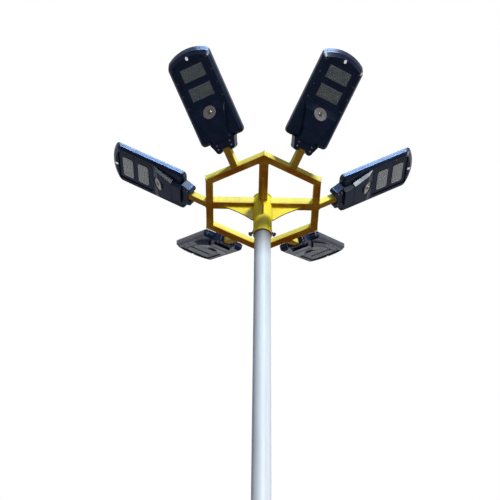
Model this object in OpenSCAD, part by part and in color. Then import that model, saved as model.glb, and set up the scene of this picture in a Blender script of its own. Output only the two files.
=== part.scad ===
// Solar street light pole: a straight steel pole on a bolted base plate, with a sleeved hub,
// four box-section spokes, a hexagonal ring and six tilted all-in-one solar lamps.
// Millimetres, +Z up, origin at the centre of the base plate's underside.

/* [Pole] */
// Length of the pole tube, from the base plate to the cap
pole_len = 6000; // [3000:100:8000]
// Outer diameter of the pole tube
pole_od = 88.9; // [70:0.1:114]
// Wall of the pole tube
pole_wall = 4; // [2:0.5:8]

/* [Base plate] */
// Side of the square base plate
base_w = 300; // [260:5:400]
// Thickness of the base plate
base_t = 12; // [8:1:25]
// Corner radius of the base plate
base_corner_r = 12; // [4:1:25]
// Distance from the plate's edge to the centre of an anchor hole
anchor_edge = 50; // [30:1:55]
// Diameter of an anchor hole
anchor_hole_d = 22; // [14:1:30]
// Height of a base rib
rib_h = 140; // [60:5:250]
// Distance from the plate's edge to the foot of a rib
rib_edge = 15; // [5:1:40]
// Thickness of a base rib
rib_t = 8; // [5:1:14]
// Height of the square end at a rib's outer toe
rib_toe = 14; // [6:1:30]
// Corner cut that clears the weld where pole and plate meet
rib_snipe = 12; // [6:1:20]

/* [Hub sleeve] */
// Radial play between the pole and the sleeve
sleeve_play = 2.7; // [1:0.1:6]
// Wall of the sleeve
sleeve_wall = 3.6; // [2.5:0.1:8]
// Length of the sleeve below the middle of the spokes
sleeve_below = 254; // [240:1:400]
// Length of the sleeve above the middle of the spokes
sleeve_above = 32; // [30:1:80]
// Thickness of the cap on the sleeve
cap_t = 6; // [3:1:15]
// Overhang of the cap past the sleeve
cap_lip = 3; // [1:0.5:10]

/* [Set bolts] */
// Diameter of a set bolt
bolt_d = 14; // [8:1:20]
// Width across the corners of a bolt head
bolt_head_d = 26; // [24:1:36]
// Thickness of a bolt head
bolt_head_t = 9; // [5:1:15]
// Free length of a bolt between its nut and its head
bolt_free = 24; // [5:1:40]
// Distance of the bolts below the middle of the spokes
bolt_drop = 180; // [165:1:205]
// Thickness of a welded nut
nut_t = 13; // [8:1:20]
// Clearance between a bolt and its nut, its hole and the pole
bolt_gap = 0.2; // [0.1:0.05:0.4]

/* [Ring and spokes] */
// Distance from the pole's centre to a corner of the ring, on the tube's centre line
ring_r = 340; // [300:5:600]
// Side of the ring's square tube
ring_tube = 40; // [30:1:46]
// Wall of the ring's tube
ring_wall = 3; // [2:0.5:5]
// Side of the spokes' square tube
spoke_tube = 50; // [48:1:56]
// Wall of the spokes' tube
spoke_wall = 3; // [2:0.5:5]
// Gap left for the weld around the sleeve
weld_gap = 0.2; // [0.1:0.05:0.4]

/* [Gussets] */
// Length of a gusset along its spoke
gusset_len = 164; // [80:1:190]
// Height of a gusset down the sleeve
gusset_h = 110; // [60:1:135]
// Thickness of a gusset
gusset_t = 8; // [4:1:12]
// Depth of the hollow in a gusset's lower edge
gusset_dip = 9; // [4:1:20]
// Square end of a gusset at both tips
gusset_tip = 10; // [5:1:16]

/* [Lamp arms] */
// Upward tilt of the arms and lamps
arm_tilt = 32.5; // [10:0.5:45]
// Side of an arm's square tube
arm_tube = 40; // [30:1:44]
// Wall of an arm's tube
arm_wall = 3; // [2:0.5:5]
// Length of arm that shows between the ring and the lamp bracket
arm_free = 86; // [60:1:250]

/* [Lamp bracket] */
// Length of the bracket, from the tips of its ears to the housing
bracket_len = 62; // [45:1:120]
// Depth of the fork between the bracket's ears
bracket_fork = 18; // [12:1:26]
// Wall of the bracket round the arm
bracket_wall = 6; // [4:0.5:12]
// Width of each ear beside the arm
ear_w = 38; // [28:1:50]
// Width that each side gains from the ears to the housing
bracket_flare = 17; // [4:1:24]
// Play between the arm and its socket
socket_play = 0.3; // [0.1:0.05:0.5]
// Thickness of the bracket behind the arm's end
socket_end = 8; // [5:1:16]

/* [Lamp housing] */
// Length of the housing, to the line of its outer corners
housing_len = 480; // [420:5:600]
// Width of the housing
housing_w = 257; // [236:1:320]
// Bulge of the nose past the line of the outer corners
nose_bulge = 40; // [20:1:60]
// Radius of the housing's outer corners
nose_corner_r = 34; // [22:1:50]
// Radius of the housing's corners at the bracket
heel_corner_r = 24; // [22:1:40]
// Height of the rim's upper edge above the arm's centre line
rim_above = 30; // [24:1:36]
// Height of the rim, from its lower to its upper edge
rim_h = 30; // [20:1:34]
// Set-back of the nose's lower edge from its upper edge
nose_rake = 19; // [6:1:24]
// Depth of the sloped underside below the rim
belly_depth = 13; // [8:1:20]
// Inward slope of the underside over its depth
belly_slope = 14; // [6:1:20]
// Further slope of the underside at the nose
belly_rake = 8; // [4:1:14]
// Bevel of the rim's upper edge
rim_bevel = 4; // [1:0.5:6]

/* [Battery box] */
// Length of the battery box along the housing, its neck included
box_len = 204; // [180:1:225]
// Length of the box's widening part, in front of its neck
box_flare_len = 137; // [110:1:155]
// Inset of the box's front from each side of the underside
box_inset = 6.5; // [3:0.5:20]
// Width of the box where its neck starts
box_neck_w = 134; // [126:1:160]
// Width of the neck
neck_w = 118; // [100:1:124]
// Depth of the box at the upper end of its sloped front
box_depth = 20; // [16:1:26]
// Depth of the box at the bracket
box_heel_depth = 28; // [26:1:34]
// Length of the box's sloped front
box_front = 40; // [34:1:46]
// Slope of the box's sides, from the upright
box_side_tilt = 20; // [15:1:30]
// Step from the box's floor up to its neck
neck_step = 1.5; // [0.5:0.5:4]
// Seam between the box and the lamp bracket
box_seam = 0.5; // [0.2:0.1:3]

/* [Light window] */
// Inset of the window from each side of the underside
window_inset = 18; // [10:1:30]
// Distance from the window to the battery box's front
window_start_gap = 8; // [4:1:20]
// Distance from the window to the outer tip of the underside
window_end = 23; // [20:1:40]
// Depth of the window's recess
window_depth = 5; // [2:0.5:8]
// Corner radius of the window
window_corner_r = 12; // [5:1:20]
// Inset of the lens plates from the window's sides
plate_inset = 30; // [10:1:40]
// Margin between the outer lens plate and the window's outer end
plate_end = 32; // [10:1:40]
// Gap between the two lens plates
plate_gap = 36; // [10:1:50]
// Margin between the inner lens plate and the window's inner end
plate_start = 32; // [10:1:40]
// Thickness of a lens plate
plate_t = 3; // [1:0.5:5]

/* [Motion sensor] */
// Diameter of the sensor's bezel
sensor_d = 76; // [60:1:80]
// Height of the sensor's bezel
sensor_h = 4; // [3:0.5:10]
// Diameter of the sensor's eye
sensor_eye_d = 22; // [10:1:30]
// Tilt of the sensor's seat towards the nose
sensor_tilt = 26; // [20:1:34]
// Distance of the seat's middle behind the battery box's front
sensor_back = 40; // [38:1:50]
// Depth of the seat's middle below the rim
sensor_low = 24; // [20:1:30]
// Lip of the round seat past the sensor
seat_lip = 1.5; // [1:0.5:3]
// Clearance between the seat and the wall of the pocket that it stands in
pocket_gap = 1; // [0.5:0.5:2]
// Depth of the seat's stem inside the housing
seat_stem = 24; // [20:1:26]

/* [Solar panel] */
// Inset of the solar panel from the rim's edge
panel_inset = 9; // [7:1:25]
// Depth of the panel's seat in the housing
panel_seat = 3; // [1.5:0.5:6]
// Thickness of the panel
panel_t = 5; // [3:0.5:10]
// Play between the panel and its seat
panel_play = 0.3; // [0.1:0.05:0.5]
// Corner radius of the panel
panel_corner_r = 10; // [4:1:20]

/* [Hidden] */
$fn = 48;
// Small overlap that makes a cut pass right through a face
cut = 1;
// Chords in one round corner of an outline
arc_chords = 8;
// Share of the nose arc's half angle that its own points span, short of those of the round corners
nose_part = 1 - 2 / (arc_chords + 2);

// Sides of the ring and the lamps on them, anticlockwise from +X, 60 degrees apart
PLACES = ["right", "back_right", "back_left", "left", "front_left", "front_right"];
place_step = 360 / len(PLACES);
// Spokes, anticlockwise from +X, 90 degrees apart
SPOKES = ["right", "back", "left", "front"];
spoke_step = 360 / len(SPOKES);

YELLOW = [0.93, 0.82, 0.22];
WHITE = [0.86, 0.87, 0.88];
DARK_STEEL = [0.22, 0.22, 0.23];
NAVY = [0.06, 0.07, 0.11];
LENS_GREY = [0.55, 0.55, 0.56];
SENSOR_GREY = [0.5, 0.5, 0.55];

// Heights
pole_top = base_t + pole_len;
ring_z = pole_top - sleeve_above;

// Hub
sleeve_id = pole_od + 2 * sleeve_play;
sleeve_od = sleeve_id + 2 * sleeve_wall;
bolt_tip_x = pole_od / 2 + bolt_gap;
nut_x = sleeve_od / 2 + weld_gap;
head_x = nut_x + nut_t + bolt_free;
// The nut's inner face is coped to the sleeve, and this much of it stands inside the sleeve's tangent
nut_cope = bolt_head_d * bolt_head_d / (4 * sleeve_od);

// Ring
ring_apothem = ring_r * cos(place_step / 2);
ring_face = ring_apothem + ring_tube / 2;
ring_inner_face = ring_apothem - ring_tube / 2;

// The arm's lower edge meets the ring's outer face flush with the ring's underside
arm_z = ring_z - ring_tube / 2 + arm_tube / (2 * cos(arm_tilt));

// Lamp, measured along the arm from the ring's outer face
heel_x = arm_free + bracket_len;
arm_end = heel_x - socket_end;
corner_x = heel_x + housing_len;
nose_tip = corner_x + nose_bulge;
nose_r = (pow(housing_w / 2, 2) + pow(nose_bulge, 2)) / (2 * nose_bulge);
nose_centre = nose_tip - nose_r;
// Axes of the housing's round corners, and the half angle of the nose arc between them
heel_axis = heel_x + heel_corner_r;
heel_y = housing_w / 2 - heel_corner_r;
nose_y = housing_w / 2 - nose_corner_r;
nose_axis = nose_centre + sqrt(pow(nose_r - nose_corner_r, 2) - pow(nose_y, 2));
nose_sweep = atan2(nose_y, nose_axis - nose_centre);

// Lamp, measured up from the arm's centre line
rim_low = rim_above - rim_h;
belly_z = rim_low - belly_depth;
panel_z = rim_above - panel_seat;

// Battery box: from its neck to its sloped front, with a floor that falls towards the bracket
belly_half = housing_w / 2 - belly_slope;
box_stop = heel_x + box_len;
box_edge = box_stop - box_front;
neck_x = box_stop - box_flare_len;
box_half = belly_half - box_inset;
floor_fall = (box_heel_depth - box_depth) / (box_edge - heel_x);
side_slope = tan(box_side_tilt);

// Light window, lens plates and sensor
belly_tip = nose_tip - nose_rake - belly_rake - belly_slope;
window_half = belly_half - window_inset;
window_start = box_stop + window_start_gap;
window_stop = belly_tip - window_end;
window_floor = belly_z + window_depth;
plate_half = window_half - plate_inset;
plate_len = (window_stop - window_start - plate_start - plate_gap - plate_end) / 2;
plate_x = [window_start + plate_start, window_start + plate_start + plate_len + plate_gap];
seat_r = sensor_d / 2 + seat_lip;
sensor_x = box_stop - sensor_back;

// --- Shapes that repeat ---

// A box-section tube along +X from x0 to x1, with its cavity drawn separately
module bar(x0, x1, side) {
    translate([x0, -side / 2, -side / 2]) cube([x1 - x0, side, side]);
}

// Points along an arc about c, from angle a0 to a1
function arc(c, r, a0, a1) = [
    for (i = [0 : arc_chords]) let (a = a0 + (a1 - a0) * i / arc_chords) c + r * [cos(a), sin(a)]
];

// A solid stretched through rings of points, each running anticlockwise as seen from the last one
module loft(rings) {
    n = len(rings[0]);
    last = len(rings) - 1;
    polyhedron(
        points = [for (ring = rings) each ring],
        faces = concat(
            [[for (i = [0 : n - 1]) i]],
            [for (k = [0 : last - 1], i = [0 : n - 1])
                [k * n + i, (k + 1) * n + i, (k + 1) * n + (i + 1) % n, k * n + (i + 1) % n]],
            [[for (i = [n - 1 : -1 : 0]) last * n + i]]
        )
    );
}

// A rectangle from x0 to x1 and of half width h, with round corners
module rounded_rect(x0, x1, h, r) {
    translate([x0 + r, -h]) square([x1 - x0 - 2 * r, 2 * h]);
    translate([x0, -h + r]) square([x1 - x0, 2 * (h - r)]);
    for (x = [x0 + r, x1 - r], y = [-h + r, h - r]) translate([x, y]) circle(r);
}

// Puts what follows in a lamp's own frame: +X out along the arm, +Z towards the sky
module in_lamp_frame(place) {
    rotate([0, 0, place * place_step])
        translate([ring_face, 0, arm_z])
            rotate([0, -arm_tilt, 0]) children();
}

// --- Base and pole ---

module base_plate() {
    anchor = base_w / 2 - anchor_edge;
    color(WHITE) difference() {
        linear_extrude(base_t) rounded_rect(-base_w / 2, base_w / 2, base_w / 2, base_corner_r);
        for (x = [-anchor, anchor], y = [-anchor, anchor])
            translate([x, y, -cut]) cylinder(h = base_t + 2 * cut, d = anchor_hole_d);
    }
}

module base_ribs() {
    inner = pole_od / 2 + weld_gap;
    outer = base_w / 2 - rib_edge;
    color(WHITE) for (a = [0 : 90 : 270])
        rotate([0, 0, a]) translate([0, rib_t / 2, base_t]) rotate([90, 0, 0])
            linear_extrude(rib_t) polygon([
                [inner + rib_snipe, 0], [outer, 0], [outer, rib_toe],
                [inner + rib_toe, rib_h], [inner, rib_h], [inner, rib_snipe]
            ]);
}

module pole() {
    color(WHITE) translate([0, 0, base_t]) difference() {
        cylinder(h = pole_len, d = pole_od);
        translate([0, 0, -cut]) cylinder(h = pole_len + 2 * cut, d = pole_od - 2 * pole_wall);
    }
}

// --- Hub ---

// Puts what follows on the axis of each of the two set bolts, which then runs along +Z from the pole's centre
module on_bolt_axes() {
    for (a = [45, 135])
        rotate([0, 0, a]) translate([0, 0, ring_z - bolt_drop]) rotate([0, 90, 0]) children();
}

module hub_sleeve() {
    color(YELLOW) difference() {
        translate([0, 0, ring_z - sleeve_below]) difference() {
            cylinder(h = sleeve_below + sleeve_above, d = sleeve_od);
            translate([0, 0, -cut]) cylinder(h = sleeve_below + sleeve_above + 2 * cut, d = sleeve_id);
        }
        on_bolt_axes() cylinder(h = sleeve_od, d = bolt_d + 2 * bolt_gap);
    }
}

module hub_cap() {
    color(YELLOW) translate([0, 0, pole_top]) cylinder(h = cap_t, d = sleeve_od + 2 * cap_lip);
}

module set_bolts() {
    color(DARK_STEEL) on_bolt_axes() {
        translate([0, 0, bolt_tip_x]) cylinder(h = head_x - bolt_tip_x + cut, d = bolt_d);
        translate([0, 0, head_x]) cylinder(h = bolt_head_t, d = bolt_head_d, $fn = 6);
    }
}

module set_nuts() {
    color(DARK_STEEL) difference() {
        on_bolt_axes() difference() {
            translate([0, 0, nut_x - nut_cope]) cylinder(h = nut_t + nut_cope, d = bolt_head_d, $fn = 6);
            cylinder(h = head_x, d = bolt_d + 2 * bolt_gap);
        }
        translate([0, 0, ring_z - sleeve_below]) cylinder(h = sleeve_below, r = nut_x);
    }
}

// --- Spokes and gussets ---

// A six-sided prism round the hub, with its sides facing the ring's sides
module hexagon(apothem, height) {
    rotate([0, 0, place_step / 2]) translate([0, 0, -height / 2])
        cylinder(h = height, r = apothem / cos(place_step / 2), $fn = len(PLACES));
}

module spoke(place) {
    cavity = spoke_tube - 2 * spoke_wall;
    color(YELLOW) translate([0, 0, ring_z]) difference() {
        intersection() {
            rotate([0, 0, place * spoke_step]) bar(0, ring_r, spoke_tube);
            hexagon(ring_inner_face, spoke_tube + 2 * cut);
        }
        intersection() {
            rotate([0, 0, place * spoke_step]) bar(0, ring_r, cavity);
            hexagon(ring_inner_face - spoke_wall, spoke_tube + 2 * cut);
        }
        translate([0, 0, -spoke_tube]) cylinder(h = 2 * spoke_tube, r = sleeve_od / 2 + weld_gap);
    }
}

module hub_gussets() {
    inner = sleeve_od / 2 + weld_gap;
    outer = inner + gusset_len;
    run = gusset_len - gusset_tip;
    drop = gusset_h - gusset_tip;
    chord = norm([run, drop]);
    edge_r = (chord * chord / 4 + gusset_dip * gusset_dip) / (2 * gusset_dip);
    reach = edge_r - gusset_dip;
    mid = [inner + gusset_tip + run / 2, -gusset_tip - drop / 2];
    edge_centre = mid + reach * [drop, -run] / chord;
    color(YELLOW) for (place = [0 : len(SPOKES) - 1])
        rotate([0, 0, place * spoke_step]) translate([0, gusset_t / 2, ring_z - spoke_tube / 2])
            rotate([90, 0, 0]) linear_extrude(gusset_t) difference() {
                polygon([
                    [inner, 0], [outer, 0], [outer, -gusset_tip],
                    [inner + gusset_tip, -gusset_h], [inner, -gusset_h]
                ]);
                translate(edge_centre) circle(edge_r, $fn = 96);
            }
}

// --- Ring and arms ---

// One mitred side of the ring in plan, from its inner to its outer face
module mitred_strip(inner, outer) {
    slope = tan(place_step / 2);
    polygon([
        [inner, -inner * slope], [outer, -outer * slope],
        [outer, outer * slope], [inner, inner * slope]
    ]);
}

module ring_side(place) {
    cavity = ring_tube - 2 * ring_wall;
    color(YELLOW) rotate([0, 0, place * place_step]) translate([0, 0, ring_z]) difference() {
        linear_extrude(ring_tube, center = true) mitred_strip(ring_inner_face, ring_face);
        intersection() {
            translate([ring_inner_face + ring_wall, -ring_r, -cavity / 2]) cube([cavity, 2 * ring_r, cavity]);
            linear_extrude(ring_tube, center = true) mitred_strip(cut, ring_r * 2);
        }
    }
}

module lamp_arms() {
    reach = arm_tube + cut;
    color(YELLOW) for (place = [0 : len(PLACES) - 1]) difference() {
        in_lamp_frame(place) difference() {
            bar(-reach, arm_end, arm_tube);
            bar(-reach - cut, arm_end + cut, arm_tube - 2 * arm_wall);
        }
        rotate([0, 0, place * place_step]) translate([ring_face - 2 * reach, -reach, arm_z - 2 * reach])
            cube([2 * reach, 2 * reach, 4 * reach]);
    }
}

// --- Lamps ---

module lamp_bracket() {
    slot_half = arm_tube / 2 + socket_play;
    ear_half = slot_half + ear_w;
    heel_half = ear_half + bracket_flare;
    height = 2 * (slot_half + bracket_wall);
    ear_r = ear_w / 2;
    color(NAVY) difference() {
        translate([0, 0, -height / 2]) linear_extrude(height) {
            for (side = [-1, 1]) translate([arm_free + ear_r, side * (slot_half + ear_r)]) circle(ear_r);
            polygon([
                [arm_free + ear_r, -ear_half], [heel_x, -heel_half],
                [heel_x, heel_half], [arm_free + ear_r, ear_half]
            ]);
        }
        translate([arm_free - cut, -slot_half, -height]) cube([bracket_fork + cut, 2 * slot_half, 2 * height]);
        bar(arm_free, arm_end + socket_play, 2 * slot_half);
    }
}

// One level of the housing at height z: its outline drawn in by inset, with its nose drawn back as well
function housing_ring(z, inset, back) = [
    for (p = concat(
        arc([heel_axis, heel_y], heel_corner_r - inset, 90, 180),
        arc([heel_axis, -heel_y], heel_corner_r - inset, 180, 270),
        arc([nose_axis - back, -nose_y], nose_corner_r - inset, -90, -nose_sweep),
        arc([nose_centre - back, 0], nose_r - inset, -nose_sweep * nose_part, nose_sweep * nose_part),
        arc([nose_axis - back, nose_y], nose_corner_r - inset, nose_sweep, 90)
    )) [p[0], p[1], z]
];

// A rim with upright sides and a raked nose, a bevel above it and the sloped underside below it
module housing_body() {
    loft([
        housing_ring(belly_z, belly_slope, nose_rake + belly_rake),
        housing_ring(rim_low, 0, nose_rake),
        housing_ring(rim_above - rim_bevel, 0, 0),
        housing_ring(rim_above, rim_bevel, 0)
    ]);
}

// Depth of the battery box's floor below the underside, at distance x along the lamp
function floor_depth(x) = box_depth + (box_edge - x) * floor_fall;

// A cross section of the battery box at x, half as wide as given at the underside and narrower below,
// which reaches up into the housing to height top
function box_ring(x, half, depth, top) =
    let (low = half - depth * side_slope, high = half + (top - belly_z) * side_slope)
    [[x, -low, belly_z - depth], [x, low, belly_z - depth], [x, high, top], [x, -high, top]];

module battery_box() {
    flare = (box_half - box_neck_w / 2) / box_flare_len;
    root = belly_z + belly_depth / 2;
    front_over = box_front * cut / box_depth;
    neck_root = rim_low + rim_h / 4;
    neck_start = heel_x + box_seam;
    neck_end = neck_x + 10 * cut;
    loft([
        box_ring(neck_x, box_neck_w / 2, floor_depth(neck_x), root),
        box_ring(box_edge, box_half - box_front * flare, box_depth, root),
        box_ring(box_stop + front_over, box_half + front_over * flare, -cut, root)
    ]);
    loft([
        box_ring(neck_start, neck_w / 2, floor_depth(neck_start) - neck_step, neck_root),
        box_ring(neck_end, neck_w / 2, floor_depth(neck_end) - neck_step, neck_root)
    ]);
}

// Puts what follows on the middle of the sensor's seat, with +Z out of it, down and towards the nose
module on_sensor_seat() {
    translate([sensor_x, 0, rim_low - sensor_low]) rotate([180, -sensor_tilt, 0]) children();
}

module lamp_housing() {
    panel_half = housing_w / 2 - panel_inset;
    color(NAVY) difference() {
        union() {
            housing_body();
            battery_box();
            on_sensor_seat() translate([0, 0, -seat_stem]) cylinder(h = seat_stem + cut, r = seat_r);
        }
        on_sensor_seat() cylinder(h = housing_w / 2, r = seat_r + pocket_gap);
        translate([0, 0, belly_z - cut]) linear_extrude(window_depth + cut)
            rounded_rect(window_start, window_stop, window_half, window_corner_r);
        translate([0, 0, panel_z]) linear_extrude(panel_seat + cut)
            rounded_rect(heel_x + panel_inset, corner_x, panel_half, panel_corner_r);
    }
}

module lamp_solar_panel() {
    panel_half = housing_w / 2 - panel_inset - panel_play;
    color(NAVY) translate([0, 0, panel_z]) linear_extrude(panel_t)
        rounded_rect(heel_x + panel_inset + panel_play, corner_x - panel_play, panel_half, panel_corner_r);
}

module lamp_lens_plates() {
    color(LENS_GREY) for (x = plate_x)
        translate([x, -plate_half, window_floor - plate_t]) cube([plate_len, 2 * plate_half, plate_t]);
}

module motion_sensor() {
    bezel = sensor_d / 2;
    eye = sensor_eye_d / 2;
    color(SENSOR_GREY) on_sensor_seat() rotate_extrude()
        polygon([
            [0, 0], [bezel, 0], [bezel, sensor_h / 2], [bezel - sensor_h / 2, sensor_h],
            [eye + sensor_h / 2, sensor_h], [eye, sensor_h / 2], [0, sensor_h / 2]
        ]);
}

base_plate();
base_ribs();
pole();
hub_sleeve();
hub_cap();
set_bolts();
set_nuts();
hub_gussets();
for (i = [0 : len(SPOKES) - 1])
    spoke(i);
for (i = [0 : len(PLACES) - 1])
    ring_side(i);
lamp_arms();
for (i = [0 : len(PLACES) - 1])
    in_lamp_frame(i) lamp_bracket();
for (i = [0 : len(PLACES) - 1])
    in_lamp_frame(i) lamp_housing();
for (i = [0 : len(PLACES) - 1])
    in_lamp_frame(i) lamp_solar_panel();
for (i = [0 : len(PLACES) - 1])
    in_lamp_frame(i) lamp_lens_plates();
for (i = [0 : len(PLACES) - 1]) in_lamp_frame(i) motion_sensor();  // motion_sensors
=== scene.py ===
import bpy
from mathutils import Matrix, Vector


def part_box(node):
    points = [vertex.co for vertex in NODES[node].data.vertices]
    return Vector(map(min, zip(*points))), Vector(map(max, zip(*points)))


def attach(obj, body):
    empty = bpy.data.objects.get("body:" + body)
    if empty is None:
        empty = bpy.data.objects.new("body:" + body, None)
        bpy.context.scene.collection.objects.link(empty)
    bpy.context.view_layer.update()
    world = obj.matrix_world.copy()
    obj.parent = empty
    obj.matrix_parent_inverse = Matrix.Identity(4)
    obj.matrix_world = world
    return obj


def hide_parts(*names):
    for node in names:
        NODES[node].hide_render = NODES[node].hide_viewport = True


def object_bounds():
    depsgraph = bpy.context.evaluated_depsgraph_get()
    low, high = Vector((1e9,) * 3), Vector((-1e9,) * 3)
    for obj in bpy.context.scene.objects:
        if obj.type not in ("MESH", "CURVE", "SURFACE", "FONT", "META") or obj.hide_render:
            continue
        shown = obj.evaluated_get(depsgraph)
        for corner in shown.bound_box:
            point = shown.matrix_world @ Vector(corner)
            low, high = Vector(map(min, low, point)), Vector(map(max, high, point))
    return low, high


bl_info = {
    "name": "Solar Street Light Pole",
    "version": (1, 0, 0),
    "blender": (4, 5, 0),
    "location": "View3D > Sidebar > Light Pole",
    "description": "Dresses the six-lamp solar street light pole: paint, welds, lenses, cells and fasteners",
    "category": "Object",
}

import math

import bmesh
import bpy
import numpy as np
from bpy.props import FloatProperty, FloatVectorProperty, IntProperty, PointerProperty
from bpy.types import Operator, Panel, PropertyGroup
from mathutils import Matrix, Vector

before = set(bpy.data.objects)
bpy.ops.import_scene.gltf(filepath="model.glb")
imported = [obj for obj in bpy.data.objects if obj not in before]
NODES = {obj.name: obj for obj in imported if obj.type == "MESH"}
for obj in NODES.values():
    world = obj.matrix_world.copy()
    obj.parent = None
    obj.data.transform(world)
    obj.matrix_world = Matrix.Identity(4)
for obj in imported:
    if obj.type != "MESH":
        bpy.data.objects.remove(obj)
CAD_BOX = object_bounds()

PLACES = ("right", "back_right", "back_left", "left", "front_left", "front_right")
SPOKES = ("right", "back", "left", "front")
PLACE_STEP = math.tau / len(PLACES)
SPOKE_STEP = math.tau / len(SPOKES)
MM = 0.001
SAME = 0.01 * MM  # points nearer to each other than this are one point
NEAR = 0.1 * MM  # points nearer to a plane than this lie on it
BY_RIGHT = 0.4  # radians either side of the right-hand lamp's direction
NO_CARDS = "Not lit by the cards"


# --- What the frame says ---


def points(node):
    """All corners of a CAD node."""
    mesh = NODES[node].data
    flat = np.empty(len(mesh.vertices) * 3)
    mesh.vertices.foreach_get("co", flat)
    return flat.reshape(-1, 3)


def widest_face(node, wanted):
    """The largest face of a CAD node that passes a test."""
    return max((f for f in NODES[node].data.polygons if wanted(f)), key=lambda f: f.area)


RING_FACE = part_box("ring_side_right")[1].x
RING_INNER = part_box("ring_side_right")[0].x
RING_LOW, RING_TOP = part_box("ring_side_right")[0].z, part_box("ring_side_right")[1].z
RING_Z = (RING_LOW + RING_TOP) / 2

_up = widest_face("lamp_right_solar_panel", lambda f: f.normal.z > 0.5).normal
TILT = math.atan2(-_up.x, _up.z)
_root = points("lamp_arms")
_root = _root[abs(_root[:, 0] - RING_FACE) < NEAR]
ARM_LOW, ARM_HIGH = _root[:, 2].min(), _root[:, 2].max()
ARM_HALF = _root[:, 1].max()

# A lamp's own frame: origin on the arm's centre line at the ring's outer face, +X out along the arm
LAMP = Matrix.Translation((RING_FACE, 0, (ARM_LOW + ARM_HIGH) / 2)) @ Matrix.Rotation(-TILT, 4, "Y")
LAMP_AT = {p: Matrix.Rotation(i * PLACE_STEP, 4, "Z") @ LAMP for i, p in enumerate(PLACES)}


def in_lamp(rows):
    """Points of the right-hand lamp in its own frame."""
    back = np.array(LAMP.inverted())
    return rows @ back[:3, :3].T + back[:3, 3]


def box_of(rows):
    """Lowest and highest corner of the box round points."""
    return Vector(rows.min(0)), Vector(rows.max(0))


HOUSING = in_lamp(points("lamp_right_housing"))
HOUSING_TOP = box_of(HOUSING)[1].z
PLATES = in_lamp(points("lamp_right_lens_plates"))
PLATE_LOW, PLATE_HIGH = box_of(PLATES)
PLATE_X = sorted({round(x, 5) for x in PLATES[:, 0]})
PANEL_LOW, PANEL_HIGH = box_of(in_lamp(points("lamp_right_solar_panel")))
BRACKET_LOW, BRACKET_HIGH = box_of(in_lamp(points("lamp_right_bracket")))
_floor = widest_face("lamp_right_housing", lambda f: (LAMP.to_3x3().col[2] + f.normal).length < 0.01
                     and abs((LAMP.inverted() @ f.center).z - PLATE_HIGH.z) < NEAR)
_window = HOUSING[abs(HOUSING[:, 2] - (LAMP.inverted() @ _floor.center).z) < SAME]
WINDOW_LOW, WINDOW_HIGH = box_of(_window)
_belly = HOUSING[HOUSING[:, 0] > WINDOW_LOW.x + MM]
BELLY_Z = _belly[:, 2].min()
_edge = _belly[abs(_belly[:, 2] - BELLY_Z) < NEAR]
BELLY_TIP, BELLY_HALF = _edge[:, 0].max(), _edge[:, 1].max()
_sensors = points("motion_sensors")
SENSOR = in_lamp(_sensors[abs(np.arctan2(_sensors[:, 1], _sensors[:, 0])) < BY_RIGHT])
_seat = widest_face("motion_sensors", lambda f: abs(math.atan2(f.center.y, f.center.x)) < BY_RIGHT)
SENSOR_WAY = LAMP.inverted().to_3x3() @ _seat.normal
SENSOR_WAY *= -math.copysign(1, SENSOR_WAY.z)


def seat(point, normal):
    """A frame at a point of the lamp, with +Z out along the surface's normal and +X along the lamp."""
    z = normal.normalized()
    y = z.cross(Vector((1, 0, 0))).normalized()
    x = y.cross(z)
    made = Matrix((x, y, z)).transposed().to_4x4()
    made.translation = point
    return made


# --- Sizes and colours that a user would change ---


def tone(red, green, blue):
    """A paint chip's red, green and blue, 0 to 255, as the linear colour that the shaders take."""
    return tuple(((c / 255 + 0.055) / 1.055) ** 2.4 if c > 10 else c / 255 / 12.92
                 for c in (red, green, blue))


# Properties of each kind, from a name, a note for the user and a default


def colour(name, note, chip):
    return FloatVectorProperty(name=name, description=note, default=tone(*chip), subtype="COLOR", size=3,
                               min=0, max=1)


def length(name, note, size):
    return FloatProperty(name=name, description=note, default=size, min=0, unit="LENGTH", subtype="DISTANCE")


def angle(name, note, degrees):
    return FloatProperty(name=name, description=note, default=math.radians(degrees), subtype="ANGLE")


def amount(name, note, value, low=0, **more):
    return FloatProperty(name=name, description=note, default=value, min=low, **more)


def number(name, note, value, low=1):
    return IntProperty(name=name, description=note, default=value, min=low)


class LightPoleFinish(PropertyGroup):
    """Colours of paint, castings, plastics, metal and cells"""

    yellow: colour("Frame yellow", "Sun-faded paint of the spokes, ring and arms", (254, 248, 116))
    white: colour("Pole white", "Paint of the pole and its base", (217, 231, 242))
    casting: colour("Lamp casting", "Dark navy of the lamp housings", (10, 24, 54))
    lens: colour("Lens grey", "Lens plates over the light chips", (70, 96, 114))
    sensor: colour("Sensor grey", "Bezel of the motion sensor", (150, 148, 160))
    steel: colour("Bolt steel", "Blackened steel of bolts and nuts", (58, 58, 62))
    cell: colour("Solar cell", "Blue-black of the solar cells", (12, 24, 66))
    hub_yellow: colour("Hub yellow", "Fresher paint of the sleeve, cap and gussets", (255, 240, 62))
    # Painted shade: the frame's tubes darken to this colour towards their lower edge.
    shade_ochre: colour("Ochre", "Darker yellow towards the lower edge of the frame's tubes", (222, 150, 26))
    # Brown of the dirty runs, and of the painted shade on the frame's undersides and in its inner corners.
    grime_and_shade: colour("Grime", "Brown film on undersides and in corners", (150, 84, 14))
    rust: colour("Rust", "Rust where paint has worn off an edge", (118, 62, 24))


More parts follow.
